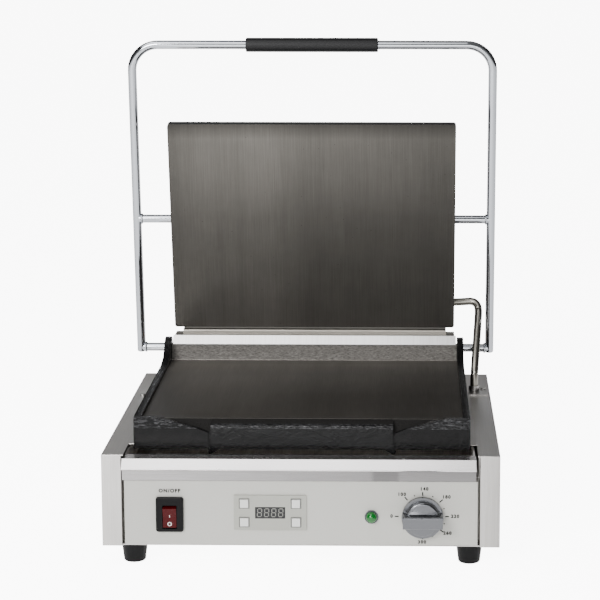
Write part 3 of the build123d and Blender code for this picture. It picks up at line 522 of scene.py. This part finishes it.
# %% Dress the nodes
dress = {
    brushed_front: "tray_front",
    brushed_case: (
        "left_side_panel right_side_panel conduit_plate rear_panel bottom_plate deck_plate upper_cover"
    ),
    brushed_wide: "rear_deflector",
    brushed_housing: "spring_housing hinge_brackets",
    bright_sheet: "drip_tray tray_guides heat_shield",
    plain_zinc: (
        "lower_clamps upper_clamps hanger_blocks foot_screws post_screws rail_screws cover_bolts "
        "shaft_collars"
    ),
    dark_element: "lower_element upper_element",
    lower_iron: "lower_plate",
    upper_iron: "upper_plate",
    chrome: "handle_frame pivot_shaft cross_rod",
    ring_chrome: "lamp_body",
    conduit_metal: "lid_conduit conduit_ferrule",
    knob_metal: "thermostat_knob",
    bronze: "hinge_bushes",
    spring_metal: "counterbalance_springs",
    shaft_metal: "knob_shaft",
    panel_paint: "control_panel",
    plate_print: "display_bezel",
    grip_black: "handle_grip",
    foot_rubber: "feet",
    switch_black: "switch_housing",
    rocker_red: "switch_rocker",
    window_dark: "display_window",
    button_white: "timer_button_1 timer_button_2 timer_button_3 timer_button_4",
    board_green: "timer_board",
    black_plastic: "thermostat_body cable_gland",
    white_ceramic: "terminal_block",
    lamp_green: "lamp_lens",
}
for finish, names in dress.items():
    for name in names.split():
        nodes[name].data.materials.clear()
        nodes[name].data.materials.append(finish)
print("dressed", len(dress), "finishes")

# %% [markdown]
# ## Surfaces from arrays
# A round piece is a ring of points carried along a path. The whole grid is worked out at once,
# and the faces join each row of points to the next.


# %% Surfaces
def surface(name, points, finish, body, close_ends=False):
    """A mesh from a grid of points, rows by columns. Each cell is a quad, and the columns wrap
    round; close_ends adds a flat face over the first row and the last."""
    rows, columns = points.shape[:2]
    index = np.arange(rows * columns).reshape(rows, columns)
    below = np.roll(index, -1, axis=1)
    quads = np.stack([index[:-1], below[:-1], below[1:], index[1:]], -1).reshape(-1, 4)
    faces = quads.tolist()
    if close_ends:
        faces += [index[0][::-1].tolist(), index[-1].tolist()]
    mesh = bpy.data.meshes.new(name)
    mesh.from_pydata(points.reshape(-1, 3).tolist(), [], faces)
    mesh.validate()
    mesh.polygons.foreach_set("use_smooth", [True] * len(mesh.polygons))
    mesh.materials.append(finish)
    made = bpy.data.objects.new(name, mesh)
    bpy.context.collection.objects.link(made)
    if body:
        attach(made, body)
    return made


def sweep(path, radii, around=32):
    """Rings round a path: each ring lies square to the path, in a frame carried along without twist."""
    path = np.asarray(path, float)
    along = np.gradient(path, axis=0)
    along /= np.linalg.norm(along, axis=1)[:, None]
    side = np.cross(along, (0.0, 0.31, 0.95))
    side /= np.linalg.norm(side, axis=1)[:, None]
    other = np.cross(along, side)
    turn = np.linspace(0, 2 * pi, around, endpoint=False)
    ring = side[:, None] * np.cos(turn)[None, :, None] + other[:, None] * np.sin(turn)[None, :, None]
    return path[:, None] + ring * np.asarray(radii)[:, None, None]


# %% [markdown]
# ## The lid conduit
# A dull metal tube carries the wires from the case to the upper plate. It rises from its foot
# on the right rail, leans back, and turns in to the cover. On the real object it flexes as the
# lid turns. Each piece here can bend across one joint only. Here it is two fixed leads that meet
# at the upper bend: one runs from the base to the lid frame, and the other from the lid frame to
# the upper plate.

# %% The conduit
conduit_radius = 0.0045
upper_bend = (0.1937, 0.1570, 0.1975)
foot_low, foot_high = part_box("conduit_plate")
route = np.array([
    (0.187, 0.094, foot_high[2] - 0.004), (0.187, 0.094, 0.1300), (0.1878, 0.0985, 0.1440),
    (0.1925, 0.1400, 0.1830), (0.1948, 0.1615, 0.2094), (0.1700, 0.1621, 0.2073), (0.1600, 0.1621, 0.2073),
])


def smooth_line(corners, samples=90):
    """Points on a clamped B-spline of degree two: it begins and ends on the end corners, and each
    point between is a weighted mean of the three nearest corners."""
    curve = bpy.data.curves.new("line", "CURVE")
    curve.dimensions = "3D"
    spline = curve.splines.new("NURBS")
    spline.points.add(len(corners) - 1)
    spline.points.foreach_set("co", np.c_[corners, np.ones(len(corners))].ravel())
    spline.order_u, spline.use_endpoint_u = 3, True
    spline.resolution_u = samples // len(corners)
    holder = bpy.data.objects.new("line", curve)
    mesh = bpy.data.meshes.new_from_object(holder)
    found = np.empty(len(mesh.vertices) * 3)
    mesh.vertices.foreach_get("co", found)
    bpy.data.objects.remove(holder)
    return found.reshape(-1, 3)


line = smooth_line(route)
tube = sweep(line, np.full(len(line), conduit_radius))
turn_at = int(np.argmin(np.linalg.norm(line - upper_bend, axis=1)))
lead = surface("lid_conduit_lead", tube[:turn_at + 1], conduit_metal, None, close_ends=True)
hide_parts("lid_conduit")
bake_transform(lead)
tail = surface("lid_conduit_tail", tube[turn_at:], conduit_metal, None, close_ends=True)
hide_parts("lid_conduit")
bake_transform(tail)
print("conduit:", len(lead.data.polygons) + len(tail.data.polygons), "faces")

# %% [markdown]
# ## Weld fillets
# The two cross rods are brazed to the arms, which leaves a small smooth collar at each joint.


# %% Weld collars
bead_inner, bead_height = 0.0048, 0.0013
weld_x = 0.2008


def collar(name, centre, axis_x, radius, bead, body, finish):
    """An open ring whose section is a half-round bead: it lies round an X-wise rod at centre, and
    at each angle of the section it stands out by the bead's sine and runs along by its cosine."""
    turn = np.linspace(0, 2 * pi, 40, endpoint=False)
    section = np.linspace(0, pi, 9)
    reach = radius + bead * np.sin(section)
    shift = bead * np.cos(section) * axis_x
    points = np.stack([
        centre[0] + shift[:, None] + 0 * turn,
        centre[1] + reach[:, None] * np.cos(turn),
        centre[2] + reach[:, None] * np.sin(turn),
    ], -1)
    return surface(name, points, finish, body)


for label, y, z in (("pivot", 0.148, 0.155), ("cross", *hang[1:])):
    for side, hand in ((-1, "left"), (1, "right")):
        bead = collar(
            f"weld_{label}_{hand}", (side * weld_x, y, z), -side, bead_inner, bead_height,
            "lid_frame", chrome,
        )
print("welds made")

# %% [markdown]
# ## Printed marks
# The panel is screen printed: the switch's ON/OFF, the dial's temperatures and its ticks. Ink
# is very thin, so each mark is a shallow piece that stands INK proud of the panel's face.

# %% Text helper
panel_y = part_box("control_panel")[0][1]
INK = 0.0002


def printed(name, words, x, z, height, y, finish, body, spread=1.0, bold=0.06):
    """Letters of a given height standing on a face that looks along -Y, made a mesh in place."""
    curve = bpy.data.curves.new(name, "FONT")
    curve.body, curve.size = words, height * 1.38
    curve.align_x, curve.align_y = "CENTER", "CENTER"
    curve.extrude, curve.space_character, curve.offset = INK, spread, height * bold
    holder = bpy.data.objects.new(name, curve)
    mesh = bpy.data.meshes.new_from_object(holder)
    mesh.name = name
    bpy.data.objects.remove(holder)
    flat = np.empty(len(mesh.vertices) * 3)
    mesh.vertices.foreach_get("co", flat)
    flat = flat.reshape(-1, 3)
    placed = np.stack([flat[:, 0] + x, y - flat[:, 2], flat[:, 1] + z], -1)
    mesh.vertices.foreach_set("co", placed.ravel())
    mesh.update()
    mesh.materials.clear()
    mesh.materials.append(finish)
    made = bpy.data.objects.new(name, mesh)
    bpy.context.collection.objects.link(made)
    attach(made, body)


def bars(name, boxes, finish, body):
    """Many small flat bars as one mesh: each is a centre, half sizes and a turn about Y."""
    corners = np.array([(sx, sy, sz) for sx in (-1, 1) for sy in (-1, 1) for sz in (-1, 1)], float)
    cell = np.array([(0, 1, 3, 2), (4, 6, 7, 5), (0, 4, 5, 1), (2, 3, 7, 6), (0, 2, 6, 4), (1, 5, 7, 3)])
    points, faces = [], []
    for number, (centre, half, turn) in enumerate(boxes):
        local = corners * half
        spun = np.stack([
            local[:, 0] * cos(turn) - local[:, 2] * sin(turn),
            local[:, 1],
            local[:, 0] * sin(turn) + local[:, 2] * cos(turn),
        ], -1)
        points.append(spun + centre)
        faces.append(cell + 8 * number)
    mesh = bpy.data.meshes.new(name)
    mesh.from_pydata(np.concatenate(points).tolist(), [], np.concatenate(faces).tolist())
    mesh.materials.append(finish)
    made = bpy.data.objects.new(name, mesh)
    bpy.context.collection.objects.link(made)
    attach(made, body)


# %% The dial and the switch legend
knob_low, knob_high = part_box("thermostat_knob")
knob_x, knob_z = (knob_low[0] + knob_high[0]) / 2, (knob_low[2] + knob_high[2]) / 2
printed("legend_on_off", "ON/OFF", -0.1352, 0.0785, 0.0037, panel_y, ink_dark, "base", 1.28)
# each number stands this far across and up from the middle of the knob, in millimetres
dial = {
    "0": (-32.0, 0.2), "100": (-21.4, 23.4), "140": (1.6, 29.2), "180": (24.4, 20.8),
    "220": (33.4, 0.2), "260": (25.6, -17.8), "300": (-0.6, -27.4),
}
for words, (across, up) in dial.items():
    printed(
        f"dial_{words}", words, knob_x + across * MM, knob_z + up * MM, 0.0034, panel_y,
        ink_dark, "base", 1.3,
    )
ticks, tick_half_width = [], 0.00055
for degrees_up, reach, half_length in (
    (180, 26.6, 2.0), (132, 25.4, 2.2), (90, 24.0, 2.0), (41, 25.2, 2.2), (0, 25.2, 2.0), (-38, 25.0, 2.0),
    (-90, 23.4, 0.9), (111, 23.6, 0.6), (64, 23.6, 0.6), (21, 23.6, 0.6), (-19, 23.6, 0.6), (-64, 23.4, 0.6),
):
    turn = radians(degrees_up)
    middle = (knob_x + reach * MM * cos(turn), panel_y, knob_z + reach * MM * sin(turn))
    ticks.append((middle, (half_length * MM, INK, tick_half_width), turn))
bars("dial_ticks", ticks, ink_dark, "base")
print("panel printed")

# %% [markdown]
# The timer's window shows four unlit seven-segment figures. Each figure is seven slim bars,
# leaning a little, as such modules are made.

# %% Seven segments
window_low, window_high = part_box("display_window")
window_x, window_z = (window_low[0] + window_high[0]) / 2, (window_low[2] + window_high[2]) / 2
figure_pitch, figure_lean = 0.0073, 0.08
bar, bar_length, bar_proud = 0.00038, 0.00165, 0.00008  # half sizes
quarter = 0.0021  # of a figure's height, and also half the width between its uprights
segments = []
for place_number in range(4):
    cx = window_x + (place_number - 1.5) * figure_pitch
    for dx, dz, upright in (
        (0, 2 * quarter, False), (0, 0, False), (0, -2 * quarter, False),
        (-quarter, quarter, True), (quarter, quarter, True),
        (-quarter, -quarter, True), (quarter, -quarter, True),
    ):
        half = (bar, bar_proud, bar_length) if upright else (bar_length, bar_proud, bar)
        segments.append(((cx + dx + dz * figure_lean, window_low[1], window_z + dz), half, 0.0))
bars("timer_segments", segments, segment_grey, "base")

# %% Outlines round the buttons, and the rocker's marks
face_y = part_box("display_bezel")[0][1]
button_gap, edge = 0.0004, 0.00035
for number in range(1, 5):
    low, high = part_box(f"timer_button_{number}")
    mid = ((low[0] + high[0]) / 2, (low[2] + high[2]) / 2)
    wide = (high[0] - low[0]) / 2 + button_gap
    rims = [
        ((mid[0], face_y, mid[1] + s * (wide + edge)), (wide + 2 * edge, INK, edge), 0.0) for s in (-1, 1)
    ] + [
        ((mid[0] + s * (wide + edge), face_y, mid[1]), (edge, INK, wide), 0.0) for s in (-1, 1)
    ]
    bars(f"button_outline_{number}", rims, outline_grey, "base")


def front_of(node, x, z):
    """The y at which a ray going back along +Y first meets a solid, at a given x and z."""
    _, spot, _, _ = nodes[node].ray_cast((x, -0.5, z), (0, 1, 0))
    return spot[1]


rocker_low, rocker_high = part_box("switch_rocker")
rocker_x = (rocker_low[0] + rocker_high[0]) / 2
for words, z, height in (("I", 0.0530, 0.0036), ("O", 0.0440, 0.0042)):
    printed(
        "rocker_" + words, words, rocker_x, z, height, front_of("switch_rocker", rocker_x, z),
        ink_white, "rocker", bold=0.01,
    )
print("rocker", rocker_low, rocker_high)

# %% [markdown]
# ## Soft edges
# Folded sheet has a bend radius, and a casting is tumbled until its corners are round. A sharp
# solid shows neither, and it catches no light along its edges. Each copy below joins the
# triangles of a solid and rounds its edges with a bevel as wide as the real radius.

# %% Rounded copies
def softened(node, width_mm, body, segments=2, angle=38):
    """A copy of a solid with its triangles joined, flat areas merged and edges rounded by width_mm."""
    mesh = nodes[node].data.copy()
    work = bmesh.new()
    work.from_mesh(mesh)
    bmesh.ops.remove_doubles(work, verts=work.verts, dist=2e-6)
    bmesh.ops.dissolve_limit(work, angle_limit=radians(0.6), verts=work.verts, edges=work.edges)
    work.to_mesh(mesh)
    work.free()
    mesh.polygons.foreach_set("use_smooth", [True] * len(mesh.polygons))
    mesh.set_sharp_from_angle(angle=radians(28))
    made = bpy.data.objects.new(node + "_soft", mesh)
    bpy.context.collection.objects.link(made)
    bevel = made.modifiers.new("edge_rounding", "BEVEL")
    bevel.width, bevel.segments, bevel.limit_method = width_mm * MM, segments, "ANGLE"
    bevel.angle_limit, bevel.harden_normals = radians(angle), True
    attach(made, body)
    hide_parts(node)


for node, width_mm, body, slot_name in (
    ("lower_plate", 1.3, "base", "ground_iron"),
    ("upper_plate", 0.8, "upper", "ground_iron"),
    ("left_side_panel", 0.5, "base", "brushed_stainless"),
    ("right_side_panel", 0.5, "base", "brushed_stainless"),
    ("tray_front", 0.35, "tray", "brushed_stainless"),
    ("rear_deflector", 0.3, "base", "brushed_stainless"),
    ("control_panel", 0.3, "base", "panel_paint"),
    ("thermostat_knob", 0.5, "knob", "knob_silver"),
    ("switch_housing", 0.5, "base", "switch_black"),
    ("switch_rocker", 0.5, "rocker", "rocker_red"),
):
    softened(node, width_mm, body)
print("edges rounded")

# %% [markdown]
# ## Floor, light and camera
# A wide pale floor fills the view. A bright soft box stands high in front on the left, a wide
# weak one hangs overhead, and a low one fills the front. The sky is a gradient, brightest at the horizon
# and dimmer to the sides, so that the steel has something dark to reflect. Floor and sky glow
# more strongly for the camera than for the piece, so the ground turns white and the black parts
# stay black.

# %% Studio floor
floor_half = 14.0
glow_on_pieces, glow_to_camera = 1.2, 9.0
mesh = bpy.data.meshes.new("floor")
floor_corners = np.array([(-1, -1, 0), (1, -1, 0), (1, 1, 0), (-1, 1, 0)]) * floor_half
mesh.from_pydata(floor_corners.tolist(), [], [(0, 1, 2, 3)])
floor_finish, floor_tree, floor_shader, _ = new_finish("studio_floor")
floor_shader.inputs["Base Color"].default_value = linear("#f4f4f4")
floor_shader.inputs["Roughness"].default_value = 0.9
floor_shader.inputs["Specular IOR Level"].default_value = 0.1
floor_shader.inputs["Emission Color"].default_value = linear("#ffffff")
seen = add_node(floor_tree, "ShaderNodeLightPath").outputs["Is Camera Ray"]
strength = add_node(
    floor_tree, "ShaderNodeMapRange", Value=seen, To_Min=glow_on_pieces, To_Max=glow_to_camera,
)
floor_tree.links.new(strength.outputs[0], floor_shader.inputs["Emission Strength"])
mesh.materials.append(floor_finish)
floor = bpy.data.objects.new("floor", mesh)
bpy.context.collection.objects.link(floor)
print("floor", 2 * floor_half, "m wide")

# %% Sky
world = bpy.data.worlds.new("studio_sky")
bpy.context.scene.world = world
world.use_nodes = True
sky = world.node_tree
backdrop = sky.nodes["Background"]
heading = add_node(sky, "ShaderNodeTexCoord").outputs["Generated"]
towards = add_node(sky, "ShaderNodeSeparateXYZ", n0=heading).outputs
tones = add_node(
    sky, "ShaderNodeValToRGB", stops=((0.0, 0.55), (0.3, 0.45), (0.6, 0.14), (1.0, 0.3)),
    Fac=towards["Z"],
).outputs["Color"]
sideways = add_node(sky, "ShaderNodeMath", {"operation": "ABSOLUTE"}, n0=towards["X"]).outputs[0]
dim = add_node(
    sky, "ShaderNodeValToRGB", stops=((0.0, 1.0), (0.45, 0.9), (0.75, 0.25), (1.0, 0.12)),
    Fac=sideways,
).outputs["Color"]
around = add_node(sky, "ShaderNodeMix", TINT, n0=1.0, n6=tones, n7=dim).outputs[2]
looked_at = add_node(sky, "ShaderNodeLightPath").outputs["Is Camera Ray"]
shown = add_node(sky, "ShaderNodeMix", BLEND, n0=looked_at, n6=around, n7=(10, 10, 10, 1))
sky.links.new(shown.outputs[2], backdrop.inputs["Color"])
backdrop.inputs["Strength"].default_value = 1.0
print("sky made")


# %% Lamps
def soft_box(name, place, aim, size, power):
    """A rectangular area lamp at place, turned so that it shines at aim."""
    lamp = bpy.data.lights.new(name, "AREA")
    lamp.shape, lamp.size, lamp.size_y, lamp.energy = "RECTANGLE", size[0], size[1], power
    holder = bpy.data.objects.new(name, lamp)
    bpy.context.collection.objects.link(holder)
    holder.location = place
    holder.rotation_euler = (Vector(aim) - Vector(place)).to_track_quat("-Z", "Y").to_euler()


soft_box("key_front", (-1.0, -2.2, 1.35), (0, 0, 0.25), (1.0, 0.8), 70)
soft_box("overhead", (-0.4, -0.45, 1.5), (0, 0, 0.15), (1.4, 0.8), 14)
soft_box("low_fill", (0.1, -2.3, 0.42), (0, -0.1, 0.1), (1.2, 0.3), 10)
print("three soft boxes made")

# %% [markdown]
# A camera that is tipped down makes uprights lean together. This one is tipped only a little and
# its lens is shifted, as a view camera's is, so the case stays close to upright in the frame.

# %% Camera
tip_down, turn_left = 0.1371, 0.0155
camera_data = bpy.data.cameras.new("camera")
camera_data.lens = 113.28  # millimetres: a long lens, which flattens the case a little
camera_data.shift_x = -0.130
camera_data.shift_y = -0.229
camera_data.clip_end = 60
camera = bpy.data.objects.new("camera", camera_data)
camera.location = (0.10865, -2.04297, 0.67896)
camera.rotation_euler = (pi / 2 - tip_down, 0.0, turn_left)
bpy.context.collection.objects.link(camera)
bpy.context.scene.camera = camera
print("camera at", tuple(camera.location))
